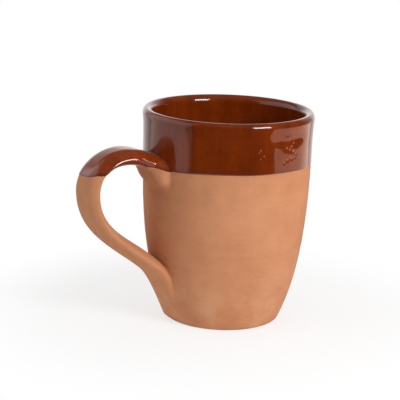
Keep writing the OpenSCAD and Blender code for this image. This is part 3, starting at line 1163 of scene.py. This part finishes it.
# %% Lay the floor
TABLE_COLUMNS = 96
TABLE_RADIUS = 190.0
TABLE_THICKNESS = 6.0
TABLE_GAP = 0.05
TABLE_UNDERCUT = 4
TABLE_BEVEL = 1
TABLE_WHITE = (0.93, 0.93, 0.93, 1)
TABLE_ROUGHNESS = 0.9
TABLE_GLOW = 0.7
TABLE_FADE = (0.07, 0.14)
WHITE = (1, 1, 1, 1)
table_turns = ring_of_turns(TABLE_COLUMNS)[None, :]
table_profile = np.array([
    (TABLE_RADIUS - TABLE_UNDERCUT, -TABLE_THICKNESS),
    (TABLE_RADIUS, -TABLE_THICKNESS / 2),
    (TABLE_RADIUS - TABLE_BEVEL, -TABLE_GAP),
    (TABLE_RADIUS / 2, -TABLE_GAP),
])
table_grid = round_axis(table_profile[:, :1], table_turns, table_profile[:, 1:])
table = skin("table", [(table_grid, facing_of(table_grid))], [(0, 0, -TABLE_THICKNESS), (0, 0, -TABLE_GAP)])


def table_finish():
    """Matt white that the camera sees partly as plain white, wholly so towards the edge."""
    finish, tree, surface = new_finish("table_white")
    from_middle = Wire.node(tree, "VectorMath", {"operation": "LENGTH"}, {"Vector": place_of(tree)}, "Value")
    share = ray_is(tree, "Camera") * (TABLE_GLOW + (1 - TABLE_GLOW) * from_middle.step(*TABLE_FADE))
    glow = Wire.node(tree, "Emission", None, {"Color": WHITE, "Strength": 1.0})
    surface.inputs["Base Color"].default_value = TABLE_WHITE
    surface.inputs["Roughness"].default_value = TABLE_ROUGHNESS
    surface.inputs["Specular IOR Level"].default_value = 0.0
    both = Wire.node(tree, "MixShader", None,
                     {"Fac": share, "Shader": Wire(surface.outputs[0]), "Shader_001": glow})
    output = next(each for each in tree.nodes if each.type == "OUTPUT_MATERIAL")
    tree.links.new(both.socket, output.inputs["Surface"])
    return finish


dress(table_finish(), table)

# %% Light the room
ROOM_LOW = 0.28
ROOM_HIGH = 0.64
ROOM_FADE = (-0.2, 0.9)
MIRROR_FRONT = 0.02
MIRROR_BEHIND = (0.35, 0.95)
MIRROR_TOP = (0.44, 0.58)
MIRROR_ABOVE = 0.16
ABOVE_FADE = (0.3, 0.8)
MIRROR_LEFT = 0.45
LEFT_WAY = (-92, 6)
LEFT_FADE = (0.73, 0.76)


def towards(direction, way):
    """How far a direction points along another one: their dot product."""
    return Wire.node(direction.socket.id_data, "VectorMath", {"operation": "DOT_PRODUCT"},
                     {"Vector": direction, "Vector_001": tuple(way)}, "Value")


def room_light():
    """Light by the kind of ray: graded by height for the clay, white for the camera, a room for mirrors."""
    world = bpy.data.worlds.new("room")
    bpy.context.scene.world = world
    world.use_nodes = True
    tree = world.node_tree
    direction = Wire.node(tree, "TexCoord", output="Generated")
    height = Wire.node(tree, "SeparateXYZ", None, {"Vector": direction}, "Z")
    behind = towards(direction, studio_way(180)).step(*MIRROR_BEHIND)
    left = towards(direction, studio_way(*LEFT_WAY)).step(*LEFT_FADE)
    mirror = MIRROR_FRONT + (1 - MIRROR_FRONT) * behind * (1 - height.step(*MIRROR_TOP))
    mirror = mirror + MIRROR_ABOVE * height.step(*ABOVE_FADE) + MIRROR_LEFT * left
    even = ROOM_LOW + (ROOM_HIGH - ROOM_LOW) * height.step(*ROOM_FADE)
    mirrored = ray_is(tree, "Glossy") + ray_is(tree, "Transmission")
    level = even + mirrored * (mirror - even)
    level = level + ray_is(tree, "Camera") * (1 - level)
    background = next(each for each in tree.nodes if each.type == "BACKGROUND")
    tree.links.new(level.socket, background.inputs["Strength"])
    background.inputs["Color"].default_value = WHITE


room_light()
bpy.context.scene.view_settings.view_transform = "Standard"
print("room lit from", ROOM_LOW, "to", ROOM_HIGH)

# %% Hang the lamps
PLAIN = (1.0, 1.0, 1.0)
WARM = (1.0, 0.66, 0.5)
# Each lamp: name, degrees round and up, distance, width and height in metres, radiance and colour
LAMPS = [
    ("left_softbox", -87, 6, 0.9, 1.41, 1.45, 0.33, PLAIN),
    ("upper_softbox", -90, 28, 0.9, 1.21, 0.9, 0.34, PLAIN),
    ("right_softbox", 102, -22, 0.9, 1.36, 0.42, 1.7, WARM),
    ("back_softbox", 180, 7, 0.9, 1.3, 0.45, 0.4, PLAIN),
    ("key_lamp", 45, 26, 0.6, 0.23, 0.16, 20.5, PLAIN),
]


def softbox(name, turn, rise, distance, width, height, radiance, colour):
    """A rectangular lamp that faces the mug. Its power is its radiance times pi times its area."""
    lamp = bpy.data.lights.new(name, "AREA")
    lamp.shape = "RECTANGLE"
    lamp.size = width
    lamp.size_y = height
    lamp.energy = radiance * math.pi * width * height
    lamp.color = colour
    way = studio_way(turn, rise)
    box = bpy.data.objects.new(name, lamp)
    box.matrix_world = facing_matrix(way * distance + [0, 0, CLAY_HEIGHT * MM / 2], way)
    box.visible_camera = False
    bpy.context.scene.collection.objects.link(box)
    print(name, f"{lamp.energy:.2f} W")


for lamp_row in LAMPS:
    softbox(*lamp_row)
